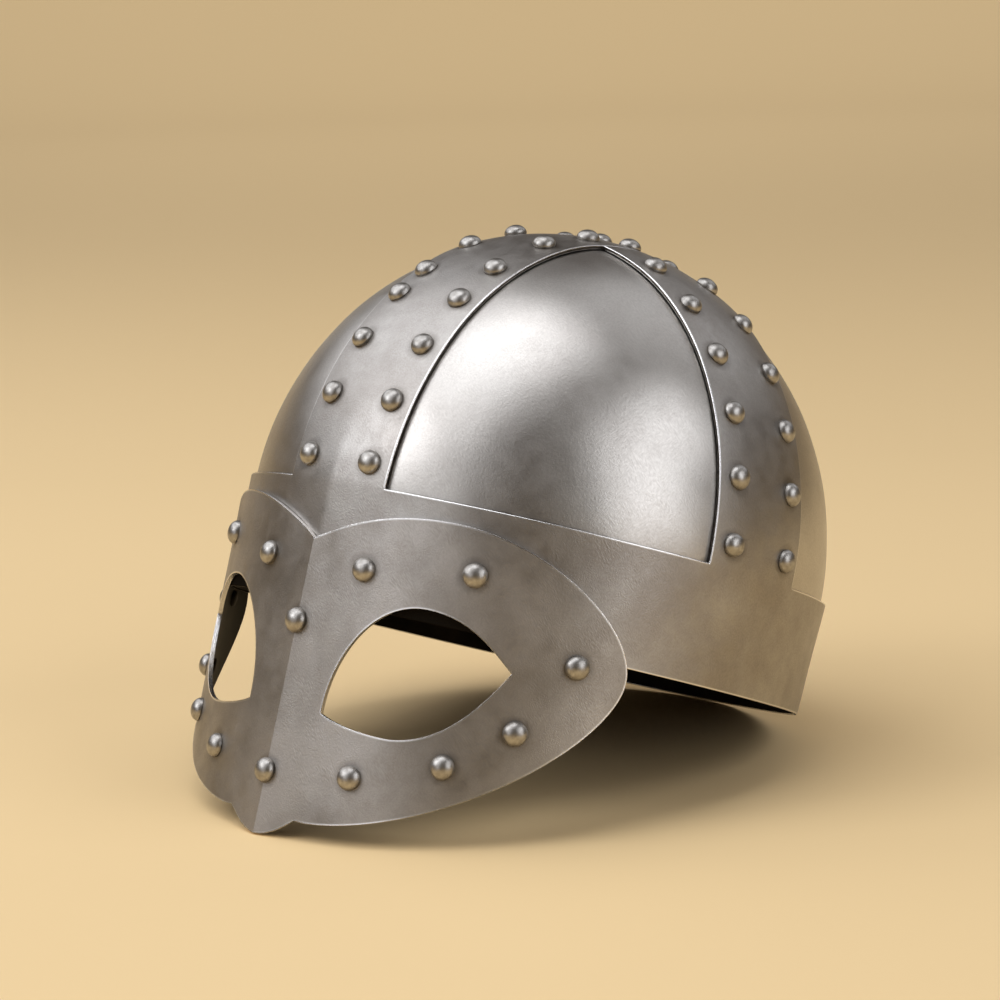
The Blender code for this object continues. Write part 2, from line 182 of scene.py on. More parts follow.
def raised(points, height=1.0):
    """Push each point outwards by the sum of height x sin(2 pi crests . place + phase) over the waves."""
    push = np.zeros(points.shape[:-1])
    for along_x, along_y, along_z, phase, tall in WAVES:
        phase_here = 2.0 * np.pi * (points @ np.array((along_x, along_y, along_z))) + phase
        push = push + tall * MM * np.sin(phase_here)
    return points + outward(points) * (height * push)[..., None]


def keeled(points):
    """Push each point outwards by height x (1 - |x| / half width)^power, fading evenly up the crest."""
    x, y, z = np.moveaxis(points, -1, 0)
    across = np.clip(1.0 - np.abs(x) / KEEL_HALF_WIDTH, 0.0, 1.0) ** KEEL_POWER
    up = np.clip(1.0 - (z - BROW_HEIGHT) / KEEL_FADE, 0.0, 1.0) * (y < 0.0)
    return points + outward(points) * (KEEL_HEIGHT * across * up)[..., None]


print("the waves push at most, in mm:", round(sum(wave[-1] for wave in WAVES), 3))

# %% [markdown]
# ## From arrays to a mesh
# A sheet is a grid of points. Neighbouring grids are welded where their points coincide, Solidify gives the
# sheet its thickness, and a narrow Bevel rounds the cut edge, which is what catches the light on real
# plate. The wall could be modelled by hand, but this way its thickness stays one number.

# %% Grids and welds
WELD_DIGITS = 7


def grid_faces(rows, columns):
    """Quads of a grid of rows by columns points, row after row."""
    corner = (np.arange(rows - 1)[:, None] * columns + np.arange(columns - 1)).ravel()
    return np.stack((corner, corner + 1, corner + columns + 1, corner + columns), axis=1)


def weld(grids):
    """Join grids of shape (rows, columns, 3) into one list of points and one of quads, with coincident
    points merged. The third result is the place of each kept point among all of them."""
    points = np.concatenate([grid.reshape(-1, 3) for grid in grids])
    first = np.cumsum([0] + [grid[..., 0].size for grid in grids])
    faces = np.concatenate([grid_faces(*grid.shape[:2]) + start for grid, start in zip(grids, first)])
    rounded = np.round(points, WELD_DIGITS)
    _, kept, index = np.unique(rounded, axis=0, return_index=True, return_inverse=True)
    faces = index.reshape(-1)[faces]
    whole = (faces != np.roll(faces, 1, axis=1)).all(axis=1)
    return points[kept], faces[whole], kept


def face_out(points, faces):
    """Turn each face whose direction, the cross product of its diagonals, points into the helmet."""
    a, b, c, d = (points[faces[:, corner]] for corner in range(4))
    direction = np.cross(c - a, d - b)
    middle = (a + b + c + d) / 4.0 - np.array((0.0, 0.0, BROW_HEIGHT))
    inward = (direction * middle).sum(axis=1) < 0.0
    faces[inward] = faces[inward, ::-1]
    return faces


print("faces of a grid of 3 by 4 points:", len(grid_faces(3, 4)))

# %% Sheets with a thickness and worn edges
EDGE_SEGMENTS = 2
EDGE_ANGLE = math.radians(40)
BAND_EDGE = 0.35 * MM
PLATE_EDGE = 0.2 * MM
GUARD_EDGE = 0.45 * MM


def make_mesh(name, points, faces, marks):
    """A smooth mesh object of leaning points. The marks are numbers for each point, by name."""
    mesh = bpy.data.meshes.new(name)
    mesh.from_pydata(lean(points).tolist(), [], faces.tolist())
    for mark, values in marks.items():
        mesh.attributes.new(mark, "FLOAT", "POINT").data.foreach_set("value", values.astype(np.float32))
    mesh.shade_smooth()
    piece = bpy.data.objects.new(name, mesh)
    bpy.context.scene.collection.objects.link(piece)
    return piece


def thicken(piece, thickness, edge):
    """Give the sheet its thickness towards the inside, then round its cut edges. The first material goes
    outside and on the rounded corners, the second inside, and the third on the cut faces between them."""
    sheet = piece.modifiers.new("Sheet", "SOLIDIFY")
    sheet.thickness = thickness
    sheet.offset = -1.0
    sheet.use_even_offset = True
    sheet.material_offset = 1
    sheet.material_offset_rim = 2
    rim = piece.modifiers.new("Worn edge", "BEVEL")
    rim.width = edge
    rim.segments = EDGE_SEGMENTS
    rim.limit_method = "ANGLE"
    rim.angle_limit = EDGE_ANGLE
    rim.harden_normals = True
    rim.material = 0


def count_triangles(piece):
    """Triangles of the finished piece, modifiers included."""
    graph = bpy.context.evaluated_depsgraph_get()
    evaluated = piece.evaluated_get(graph)
    mesh = evaluated.to_mesh()
    mesh.calc_loop_triangles()
    total = len(mesh.loop_triangles)
    evaluated.to_mesh_clear()
    return total


print("worn edges of bands, plates and guard in mm:", BAND_EDGE / MM, PLATE_EDGE / MM, GUARD_EDGE / MM)

# %% [markdown]
# ## Where the rivets stand
# Two rows follow each band, and one rivet sits on the crown. A row could be copies at equal angles, but a
# smith walks dividers along the band: a first mark, then one every 23 mm or so. A few rivets near the crown
# were set early, most of them on the wearer's right.

# %% Rivet rows
ROW_OFFSET = 0.0146
CREST_START = 0.0079
CREST_PITCH = 0.0228
CREST_COUNT = 15
SIDE_START = 0.0081
SIDE_PITCH = 0.0234
SIDE_COUNT = 6
# rivet's number from the face: how far it stands from its mark, as a share of the pitch
LEFT_DRIFT = {4: -0.12}
RIGHT_DRIFT = {4: -0.35, 5: -0.33, 6: -0.30, 7: -0.14}
CURVE_SAMPLES = 2000


def along(curve, end, runs):
    """Points of the curve(turn) at which it has run through the given lengths, from turn 0. The run is the
    sum of the short chords between closely spaced turns."""
    turns = np.linspace(0.0, end, CURVE_SAMPLES)
    steps = np.linalg.norm(np.diff(curve(turns), axis=0), axis=1)
    return curve(np.interp(runs, np.concatenate(([0.0], np.cumsum(steps))), turns))


def crest_row(side, drift):
    """One row over the crest, beside its middle line, at start + (number + drift) x pitch."""
    drifts = np.array([drift.get(number, 0.0) for number in range(CREST_COUNT)])
    runs = CREST_START + (np.arange(CREST_COUNT) + drifts) * CREST_PITCH
    return along(lambda turn: crest_arc(side * ROW_OFFSET, turn), math.pi, runs)


def side_rows(side):
    """The two rows up one side band, each at start + number x pitch."""
    runs = SIDE_START + np.arange(SIDE_COUNT) * SIDE_PITCH
    rows = []
    for y in (-ROW_OFFSET, ROW_OFFSET):
        rows.append(along(lambda turn: side_arc(np.full_like(turn, y), turn, side), math.pi / 2, runs))
    return np.concatenate(rows)


def rivet_distance(points, rivets):
    """Distance in mm from each point to the rim of the nearest rivet head."""
    apart = np.linalg.norm(points[:, None, :] - rivets[None, :, :], axis=2)
    return (apart.min(axis=1) - RIVET_RADIUS) / MM


crest_rivets = np.concatenate((crest_row(1, LEFT_DRIFT), crest_row(-1, RIGHT_DRIFT), crown))
side_rivets = {"left": side_rows(1), "right": side_rows(-1)}
print("rivets on the crest and on each side:", len(crest_rivets), len(side_rivets["left"]))

# %% [markdown]
# ## The spectacle guard, flat
# The guard is cut flat, then folded along the nose and bent round the brow. The flat half is a ring between
# two closed curves, the eye opening and the outline. A boolean cut would leave ragged faces. Rays from the
# middle of the eye cross both curves once, so a grid of ray by step fills the ring, with a ray through
# every corner.

# %% The two outlines: rows of point, incoming handle and outgoing handle, as shares of reach and drop
OUTLINE = (
    # across, up, in_across, in_up, out_across, out_up
    (0.0, 0.252, 0.0, 0.1, 0.148, 0.369),
    (0.443, 0.421, 0.296, 0.421, 0.706, 0.421),
    (1.0, -0.062, 1.0, 0.160, 1.0, -0.314),
    (0.177, -0.910, 0.583, -0.856, 0.163, -0.911),
    (0.134, -0.910, 0.148, -0.911, 0.090, -0.961),
    (0.0, -1.0, 0.049, -0.995, 0.0, -0.6),
)
EYE = (
    # the same columns
    (0.150, -0.456, 0.205, -0.486, 0.144, -0.197),
    (0.411, 0.053, 0.263, 0.053, 0.542, 0.053),
    (0.677, -0.128, 0.608, -0.049, 0.624, -0.271),
    (0.353, -0.499, 0.525, -0.499, 0.279, -0.499),
)
EYE_CORNERS = [0, 2]
EYE_MIDDLE = np.array((0.40, -0.22))
FLAT_SIZE = np.array((GUARD_REACH, NOSE_DROP))
ARC_STEPS = 400


def trace(rows):
    """Points of the closed curve: cubic arcs, each a mix of its two ends and their two handles with shares
    (1-t)^3, 3t(1-t)^2, 3t^2(1-t) and t^3."""
    rows = np.array(rows)
    start, leave = rows[:, 0:2], rows[:, 4:6]
    finish, arrive = np.roll(rows[:, 0:2], -1, axis=0), np.roll(rows[:, 2:4], -1, axis=0)
    t = np.linspace(0.0, 1.0, ARC_STEPS, endpoint=False)[None, :, None]
    mix = ((1 - t) ** 3, 3 * t * (1 - t) ** 2, 3 * t**2 * (1 - t), t**3)
    ends = (start, leave, arrive, finish)
    return sum(part * end[:, None, :] for part, end in zip(mix, ends)).reshape(-1, 2)


outline_curve, eye_curve = trace(OUTLINE), trace(EYE)
print("half of the guard, flat, in mm:", (np.ptp(outline_curve, axis=0) * FLAT_SIZE / MM).round(1))

# %% Rays from the middle of the eye
RAYS = 300
STEPS_ACROSS = 22
CLOSEST_RAYS = 0.4


def eye_bearings(flat_points):
    """The bearing of each flat point as seen from the middle of the eye."""
    offset = (flat_points - EYE_MIDDLE) * FLAT_SIZE
    return np.arctan2(offset[:, 1], offset[:, 0])


def at_bearings(curve, bearings):
    """Where rays from the middle of the eye at these bearings cross the closed curve."""
    bearing = eye_bearings(curve)
    order = np.argsort(bearing)
    x = np.interp(bearings, bearing[order], curve[order, 0], period=2 * math.pi)
    y = np.interp(bearings, bearing[order], curve[order, 1], period=2 * math.pi)
    return np.stack((x, y), axis=-1)


def ring_bearings(corners, count):
    """Evenly spread bearings and those of the corners, less the even ones too close to a corner's."""
    exact = eye_bearings(corners)
    even = np.linspace(-math.pi, math.pi, count, endpoint=False)
    apart = np.abs(np.angle(np.exp(1j * (even[:, None] - exact[None, :])))).min(axis=1)
    return np.sort(np.concatenate((even[apart > CLOSEST_RAYS * 2 * math.pi / count], exact)))


corners = np.concatenate((np.array(OUTLINE)[:, :2], np.array(EYE)[EYE_CORNERS, :2]))
bearings = ring_bearings(corners, RAYS)
inner = at_bearings(eye_curve, bearings)
outer = at_bearings(outline_curve, bearings)
# steps crowd towards both cut edges, so the worn corners stay crisp
step = 0.5 - 0.5 * np.cos(np.linspace(0.0, math.pi, STEPS_ACROSS))
flat = (inner[None] + (outer - inner)[None] * step[:, None, None]) * FLAT_SIZE
flat = np.concatenate((flat, flat[:, :1]), axis=1)
print("guard ring, rays and steps:", flat.shape[1], flat.shape[0])

# %% [markdown]
# ## Folding and bending the guard
# A smith folds the nose over an edge first and bends the rest round the brow. Two rules do the same here.
# Past a soft crease the sheet follows the round of the brow, and inside the crease a flat flank runs to the
# ridge. The crease is close to the ridge at the notch and far from it at the tip.

# %% Round the brow, and out to the ridge
TURN_SAMPLES = 4000
CREASE_LEVELS = (-0.9 * NOSE_DROP, 0.25 * NOSE_DROP)
GUARD_OUTSET = LAP_GAP + GUARD_SHEET
GUARD_TURNS = np.linspace(0.0, math.pi, TURN_SAMPLES)
guard_path = brow_wall(GUARD_TURNS, np.full_like(GUARD_TURNS, BROW_HEIGHT), -GUARD_OUTSET)
GUARD_RUNS = np.concatenate(([0.0], np.cumsum(np.linalg.norm(np.diff(guard_path, axis=0), axis=1))))


def guard_angles(reach):
    """The angle round the brow at which the guard's outer face has run through this reach."""
    return np.interp(reach, GUARD_RUNS, GUARD_TURNS)


def guard_reaches(angle):
    """How far the guard's outer face has run at this angle round the brow."""
    return np.interp(angle, GUARD_TURNS, GUARD_RUNS)


def crease_reach(z):
    """How far from the ridge the flat flank runs: it widens evenly from the notch down to the tip."""
    return np.interp(z, CREASE_LEVELS, (CREASE_REACH_TIP, CREASE_REACH_NOTCH))


def bend(flat, outset, side=1):
    """Lay flat points round the brow. Past the crease they lie on its round, pushed out by the outset, and
    inside the crease x and y go evenly from the round to the ridge."""
    reach, z = flat[..., 0], flat[..., 1]
    crease = crease_reach(z)
    share = np.clip(reach / crease, 0.0, 1.0)
    round_point = brow_wall(guard_angles(np.maximum(reach, crease)), z, -outset)
    ridge = -(FRONT_DEPTH * taper(z) + outset + RIDGE_RISE)
    y = ridge + (round_point[..., 1] - ridge) * share
    return np.stack((side * round_point[..., 0] * share, y, z), axis=-1)


print("the guard ends at this angle from the face:", round(math.degrees(guard_angles(GUARD_REACH)), 1))

# %% [markdown]
# ## The frame of bands
# On the helmet the bands are welded and ground until no seam shows at the brow, so they are one surface here
# too: the grids share their points where they meet. Only at the crest's edge do the side bands end just
# short, where the real ones slip in. Each point remembers how far it lies from the nearest cut edge and
# rivet, for the steel to be brighter on one, as wear and a painted highlight, and darker round the other, as
# dirt and painted shade. It also remembers how deep it lies behind the guard, where the steel is coloured
# almost black as painted shade.

# %% The grids of the frame
BAND_COLUMNS = 33
MIDDLE_COLUMN = BAND_COLUMNS // 2
QUADRANT_COLUMNS = 75
BROW_ROWS = 28
CREST_ROWS = 221
SIDE_ROWS = 97
ACROSS = np.linspace(-HALF_BAND, HALF_BAND, BAND_COLUMNS)
FRONT_ANGLES = np.arcsin(ACROSS[MIDDLE_COLUMN:] / HALF_WIDTH)
SIDE_ANGLES = np.arccos(-ACROSS / half_length(ACROSS < 0.0))


def round_angles():
    """Angles once round the brow, with one for every column of the crest and of the side bands."""
    front = np.linspace(FRONT_ANGLES[-1], SIDE_ANGLES[0], QUADRANT_COLUMNS)
    rear = np.linspace(SIDE_ANGLES[-1], math.pi - FRONT_ANGLES[-1], QUADRANT_COLUMNS)
    back = math.pi - FRONT_ANGLES[-2::-1]
    half = np.concatenate((FRONT_ANGLES, front[1:], SIDE_ANGLES[1:], rear[1:], back))
    return np.concatenate((half, 2.0 * math.pi - half[-2::-1]))


def side_band_grid(side):
    """A strip over the dome at right angles to the crest, from the brow's top edge to just short of the
    crest: the turn ends where x = half band + half the gap."""
    share = np.sqrt(1.0 - (ACROSS / half_length(ACROSS < 0.0)) ** 2)
    end = np.arccos((HALF_BAND + BUTT_GAP / 2) / (HALF_WIDTH * share))
    turn = np.linspace(0.0, 1.0, SIDE_ROWS)[:, None] * end[None, :]
    return side_arc(ACROSS[None, :] + 0.0 * turn, turn, side)


brow_grid = brow_wall(round_angles()[None, :], np.linspace(0.0, BROW_HEIGHT, BROW_ROWS)[:, None])
crest_grid = crest_arc(ACROSS[None, :], np.linspace(0.0, math.pi, CREST_ROWS)[:, None])
print("columns round the brow, rows over the crest:", brow_grid.shape[1], crest_grid.shape[0])

# %% How far from an edge, and how deep behind the guard
TINY = 1e-6


def band_edge_distance(points):
    """Distance in mm to the nearest cut edge: the rim, the brow's top edge beside the bands, and the bands'
    long edges, where (half band - |x|) / slope runs along the surface."""
    x, y, z = np.moveaxis(points, -1, 0)
    slope = np.sqrt(1.0 - outward(points) ** 2)
    beside = np.minimum(np.abs(x), np.abs(y)) - HALF_BAND
    on_brow = np.minimum(z, np.hypot(np.maximum(-beside, 0.0), BROW_HEIGHT - z))
    on_crest = (HALF_BAND - np.abs(x)) / slope[:, 0]
    on_side = (HALF_BAND - np.abs(y)) / slope[:, 1]
    above = np.where(np.abs(x) <= HALF_BAND + TINY, on_crest, on_side)
    return np.where(z <= BROW_HEIGHT + TINY, on_brow, above) / MM


def behind_guard(points):
    """Depth in mm inside the guard's outline: the smaller of the way up to its top edge and the way along to
    its end. It is negative outside."""
    x, y, z = np.moveaxis(points, -1, 0)
    reach = guard_reaches(np.abs(np.arctan2(x / HALF_WIDTH, -y / FRONT_DEPTH)))
    top = outline_curve[:2 * ARC_STEPS] * FLAT_SIZE
    return np.minimum(np.interp(reach, top[:, 0], top[:, 1]) - z, GUARD_REACH - reach) / MM


points, faces, _ = weld([brow_grid, crest_grid, side_band_grid(1), side_band_grid(-1)])
marks = {
    "edge_mm": band_edge_distance(points),
    "rivet_mm": rivet_distance(points, np.concatenate((crest_rivets, *side_rivets.values()))),
    "hidden_mm": behind_guard(points),
}
print("deepest point behind the guard in mm:", round(float(marks["hidden_mm"].max()), 1))

# %% Brow, crest and side bands, one sheet
band_frame = make_mesh("band_frame_sheet", keeled(raised(points)), face_out(points, faces), marks)
thicken(band_frame, SHEET, BAND_EDGE)
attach(band_frame, "root")
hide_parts("brow_and_crest_band", "side_band_left", "side_band_right")
print("frame of bands, triangles:", count_triangles(band_frame))

# %% [markdown]
# ## The four plates
# Behind the bands lie four quarters of a slightly smaller dome. Only the windows between the bands show, but
# each is a whole plate with a skirt that laps behind the brow, because the inside shows from below. Where the
# band stands proud of the plate, the plate is darker, as grime and as painted shade, so each point remembers
# its way to the window's edge.

# %% Plates
PLATE_INSET = SHEET + LAP_GAP
PLATE_SETBACK = 0.0015
BROW_LAP = 0.012
PLATE_COLUMNS = 85
PLATE_ROWS = 81
SKIRT_ROWS = 8
FLATTEST = 0.01


def window_distance(points, normals):
    """Distance in mm along the plate to the nearest edge of its window, negative where a band covers it. The
    gap along each axis is divided by sqrt(1 - n^2), the plate's slope against that axis."""
    bounds = np.array((HALF_BAND, HALF_BAND, BROW_HEIGHT))
    along_plate = np.sqrt(np.maximum(1.0 - normals**2, FLATTEST))
    return ((np.abs(points) - bounds) / along_plate).min(axis=1) / MM


def plate_grid(side, end):
    """A quarter dome: x = a cos(turn) sin(angle), y = b cos(turn) cos(angle), z = c sin(turn). The angle runs
    from the face or the back to the side, and the turn from the brow up to the two middle planes."""
    length = (FRONT_DEPTH if end < 0 else REAR_DEPTH) - PLATE_INSET
    width = HALF_WIDTH - PLATE_INSET
    first = math.asin(PLATE_SETBACK / width)
    last = math.acos(PLATE_SETBACK / length)
    angle = np.linspace(first, last, PLATE_COLUMNS)[None, :]
    reach = np.maximum(PLATE_SETBACK / (width * np.sin(angle)), PLATE_SETBACK / (length * np.cos(angle)))
    turn = np.linspace(0.0, 1.0, PLATE_ROWS)[:, None] * np.arccos(np.minimum(reach, 1.0))
    x = side * width * np.cos(turn) * np.sin(angle)
    y = end * length * np.cos(turn) * np.cos(angle)
    z = BROW_HEIGHT + (CROWN_RISE - PLATE_INSET) * np.sin(turn)
    dome = np.stack((x, y, z), axis=-1)
    depth = np.linspace(BROW_HEIGHT - BROW_LAP, BROW_HEIGHT, SKIRT_ROWS)[:-1, None]
    around = angle if end < 0 else math.pi - angle
    skirt = brow_wall(around, depth, PLATE_INSET) * np.array((side, 1.0, 1.0))
    return np.concatenate((skirt, dome))


plates = []
for word, side in (("left", 1), ("right", -1)):
    for where, end in (("front", -1), ("rear", 1)):
        points, faces, _ = weld([plate_grid(side, end)])
        marks = {"window_mm": window_distance(points, outward(points))}
        plate = make_mesh(f"plate_{where}_{word}_sheet", raised(points), face_out(points, faces), marks)
        thicken(plate, SHEET, PLATE_EDGE)
        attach(plate, "root")
        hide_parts(f"plate_{where}_{word}")
        plates.append(plate)
print("plate, triangles:", count_triangles(plates[0]))

# %% [markdown]
# ## The guard in the round
# The guard lies 0.4 mm off the brow, held by two rivets on the ridge and six on each side. The flat ring is
# bent once for each side, and the halves are welded along the ridge. The ways to cut edges and rivets are
# measured on the flat sheet, where they are simple, and carried by the same points.

# %% What the guard's points remember
# across and up, as shares of reach and drop
guard_rivet_shares = np.array(
    ((0.195, 0.160), (0.520, 0.230), (0.851, -0.044), (0.723, -0.361), (0.547, -0.559), (0.287, -0.687))
)
ridge_rivet_shares = np.array(((0.0, -0.099), (0.0, -0.734)))
OFF_RIDGE = 1e-5


def edge_distance(flat, curves):
    """Distance in mm from each flat point to the nearest cut edge, the ridge left out."""
    edge = np.concatenate(curves) * FLAT_SIZE
    edge = edge[edge[:, 0] > OFF_RIDGE]
    return np.array([np.linalg.norm(row[:, None] - edge[None], axis=2).min(axis=1) for row in flat]) / MM


near = edge_distance(flat, (outline_curve, eye_curve))
near[[0, -1]] = np.where(flat[[0, -1], :, 0] > OFF_RIDGE, 0.0, near[[0, -1]])
rivet_flat = np.concatenate((guard_rivet_shares, ridge_rivet_shares)) * FLAT_SIZE
rivet_near = (np.linalg.norm(flat[:, :, None] - rivet_flat, axis=3).min(axis=2) - RIVET_RADIUS) / MM
print("widest way from a cut edge in mm:", round(float(near.max()), 1))

# %% The guard's mesh
GUARD_WAVES = 0.6
halves = [raised(bend(flat, GUARD_OUTSET, side), GUARD_WAVES) for side in (1, -1)]
for half in halves:
    half[flat[..., 0] < TINY, 0] = 0.0
points, faces, kept = weld(halves)
marks = {"edge_mm": np.tile(near.ravel(), 2)[kept], "rivet_mm": np.tile(rivet_near.ravel(), 2)[kept]}
guard = make_mesh("spectacle_guard_sheet", points, face_out(points, faces), marks)
thicken(guard, GUARD_SHEET, GUARD_EDGE)
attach(guard, "root")
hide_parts("spectacle_guard")
print("guard, triangles:", count_triangles(guard))

# %% [markdown]
# ## Rivets
# A rivet's head is forged into a low dome and its tail is clenched inside. Each is a profile turned about its
# axis. A scaled sphere would do for the head, but a quarter of an ellipse on a slightly undercut foot also
# gives the dark line that rings it. No two are struck alike, so each is tipped and stretched by a little,
# from a fixed seed.

# %% The rivet's profiles
HEAD_STEPS = 9
HEAD_SIDES = 28
TAIL_SIDES = 14
SUNK = 0.3 * MM
WIDEST = 0.3 * MM
UNDERCUT_TOP = 0.12 * MM
UNDERCUT_FOOT = 0.94
UNDERCUT_NECK = 0.96
# radius and height in mm, from the foot on the sheet to the crown
TAIL = ((0.0, -0.3), (3.0, -0.3), (3.1, 0.3), (2.7, 0.8), (1.8, 1.1), (0.0, 1.2))


def head_profile():
    """Radius and height from the foot up: an undercut foot, then r = R sin(a), h = w + (H - w) cos(a)."""
    angle = np.linspace(math.pi / 2, 0.0, HEAD_STEPS)
    neck = (RIVET_RADIUS * UNDERCUT_NECK, UNDERCUT_TOP)
    foot = np.array(((0.0, -SUNK), (RIVET_RADIUS * UNDERCUT_FOOT, -SUNK), neck))
    dome_height = WIDEST + (RIVET_HEIGHT - WIDEST) * np.cos(angle)
    return np.concatenate((foot, np.stack((RIVET_RADIUS * np.sin(angle), dome_height), axis=1)))


def weld_solid(grid):
    """Points and quads of a closed turned grid, with coincident points merged. A pole's quads keep four
    corners, of which two are the pole."""
    points = grid.reshape(-1, 3)
    rounded = np.round(points, WELD_DIGITS) + 0.0
    _, kept, index = np.unique(rounded, axis=0, return_index=True, return_inverse=True)
    return points[kept], index.reshape(-1)[grid_faces(*grid.shape[:2])]


def clean_faces(faces):
    """Lists of face corners, with a corner that repeats at a pole left out."""
    return [list(dict.fromkeys(face)) for face in faces.tolist()]


def turned(profile, sides):
    """Points (x, y, z) = (r cos(a), r sin(a), h) and quads of a profile turned about Z."""
    angle = np.linspace(0.0, 2 * math.pi, sides, endpoint=False)[None, :]
    radius, height = profile[:, 0, None], profile[:, 1, None]
    grid = np.stack(np.broadcast_arrays(radius * np.cos(angle), radius * np.sin(angle), height), axis=-1)
    return weld_solid(np.concatenate((grid, grid[:, :1]), axis=1))


print("faces of a rivet's head:", len(turned(head_profile(), HEAD_SIDES)[1]))

# %% Striking them, each a little differently
SEED = 7
TIPPED = 0.018
STRETCHED = 0.015
CREASE_ANGLE = math.radians(50)
ALMOST_UP = np.array((0.0, 0.0, 1.0)) + 1e-3
rng = np.random.default_rng(SEED)


def axes_at(normals):
    """Right-handed axes with Z along each normal: X is up x normal, and Y is normal x X."""
    side = np.cross(ALMOST_UP, normals)
    side /= np.linalg.norm(side, axis=1, keepdims=True)
    return np.stack((side, np.cross(normals, side), normals), axis=2)


def struck(profile, places, normals, sides):
    """The turned profile at every place, each one tipped and stretched by its own random share."""
    points, faces = turned(profile, sides)
    count = len(places)
    tipped = normals + rng.normal(0.0, TIPPED, (count, 3))
    tipped /= np.linalg.norm(tipped, axis=1, keepdims=True)
    stretch = 1.0 + rng.normal(0.0, STRETCHED, (count, 3))
    local = points[None] * stretch[:, None, :]
    placed = np.einsum("nij,npj->npi", axes_at(tipped), local) + places[:, None, :]
    every = faces[None] + np.arange(count)[:, None, None] * len(points)
    return placed.reshape(-1, 3), every.reshape(-1, 4)


def head_and_tail(places, normals, grip):
    """Heads at the places, and tails behind the sheets that they grip."""
    heads = struck(head_profile(), places, normals, HEAD_SIDES)
    return [heads, struck(np.array(TAIL) * MM, places - normals * grip, -normals, TAIL_SIDES)]


def make_rivets(name, parts):
    """One object from heads and tails. The heads take its first material and the tails its second."""
    first = np.cumsum([0] + [len(points) for points, _ in parts])
    points = np.concatenate([points for points, _ in parts])
    faces = np.concatenate([faces + start for (_, faces), start in zip(parts, first)])
    mesh = bpy.data.meshes.new(name)
    mesh.from_pydata(lean(points).tolist(), [], clean_faces(faces))
    part_of_face = np.repeat(np.arange(len(parts), dtype=np.int32), [len(faces) for _, faces in parts])
    mesh.polygons.foreach_set("material_index", part_of_face)
    mesh.shade_smooth()
    mesh.set_sharp_from_angle(angle=CREASE_ANGLE)
    piece = bpy.data.objects.new(name, mesh)
    bpy.context.scene.collection.objects.link(piece)
    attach(piece, "root")
    return piece


print("a head leans by about this many degrees:", round(math.degrees(TIPPED), 1))

# %% The bands' rivets
STACK = SHEET + LAP_GAP + SHEET
rivet_pieces = [make_rivets("crest_rivets", head_and_tail(crest_rivets, outward(crest_rivets), STACK))]
for word, places in side_rivets.items():
    rivet_pieces.append(make_rivets(f"side_rivets_{word}", head_and_tail(places, outward(places), STACK)))
print("triangles of the crest's rivets:", count_triangles(rivet_pieces[0]))

# %% The guard's rivets, one object for each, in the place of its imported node
NEARBY = 0.0018


def guard_rivet_frame(share, side):
    """Place and outward direction of a rivet on the guard's outer face, from its shares of reach and drop.
    The direction is (a short way along the guard) x up, and straight ahead on the ridge."""
    flat_place = share * FLAT_SIZE
    place = bend(flat_place, GUARD_OUTSET, side)
    if share[0] == 0.0:
        return place, np.array((0.0, -1.0, 0.0))
    shifts = (np.array((shift, 0.0)) for shift in (-NEARBY, NEARBY))
    nearer, further = (bend(flat_place + shift, GUARD_OUTSET, side) for shift in shifts)
    direction = np.cross((further - nearer) * side, np.array((0.0, 0.0, 1.0)))
    return place, direction / np.linalg.norm(direction)


guard_rivets = [(f"nose_rivet_{index + 1}", share, 1) for index, share in enumerate(ridge_rivet_shares)]
for word, side in (("left", 1), ("right", -1)):
    for index, share in enumerate(guard_rivet_shares):
        guard_rivets.append((f"guard_rivet_{word}_{index + 1}", share, side))
for node, share, side in guard_rivets:
    place, direction = guard_rivet_frame(share, side)
    grip = GUARD_SHEET + (LAP_GAP + SHEET if share[1] > 0 else 0.0)
    rivet = make_rivets(f"{node}_dome", head_and_tail(place[None], direction[None], grip))
    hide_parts(node)
    rivet_pieces.append(rivet)
print("rivet objects:", len(rivet_pieces))

# %% [markdown]
# ## Colours and nodes
# A material is a small tree of nodes. One function turns hex codes to a shader's linear numbers, one adds a
# node with its settings and links, and one lays a colour over another, as every steel below does.

# %% Small helpers for materials
NOISE = "ShaderNodeTexNoise"
RANGE = "ShaderNodeMapRange"
MATHS = "ShaderNodeMath"
MIX = "ShaderNodeMix"
MARK = "ShaderNodeAttribute"
COLOURS = {"data_type": "RGBA"}


def linear(code):
    """An sRGB hex code as linear red, green, blue and one for opacity: c / 12.92 in the deep shadows, and
    ((c + 0.055) / 1.055)^2.4 above them."""
    parts = [int(code[place:place + 2], 16) / 255 for place in (1, 3, 5)]
    return (*[part / 12.92 if part <= 0.04045 else ((part + 0.055) / 1.055) ** 2.4 for part in parts], 1.0)


def add_node(tree, kind, settings=None, give=0, **inputs):
    """Add a node of the kind, set its properties, set or link its inputs, and return one of its outputs. An
    input goes by its name with _ for a space, or by i and its number."""
    node = tree.nodes.new(kind)
    for key, value in (settings or {}).items():
        setattr(node, key, value)
    for key, value in inputs.items():
        numbered = key[0] == "i" and key[1:].isdigit()
        socket = node.inputs[int(key[1:])] if numbered else node.inputs[key.replace("_", " ")]
        if isinstance(value, bpy.types.NodeSocket):
            tree.links.new(value, socket)
        else:
            socket.default_value = value
    return node.outputs[give]


def cover(tree, under, over, guide, low, high, at_low=0.0, at_high=1.0):
    """Lay the colour over on the colour under. Its share goes evenly from at_low to at_high while the guide
    goes from low to high, and stays the same beyond them."""
    share = add_node(tree, RANGE, Value=guide, From_Min=low, From_Max=high, To_Min=at_low, To_Max=at_high)
    return add_node(tree, MIX, COLOURS, 2, i0=share, i6=under, i7=over)


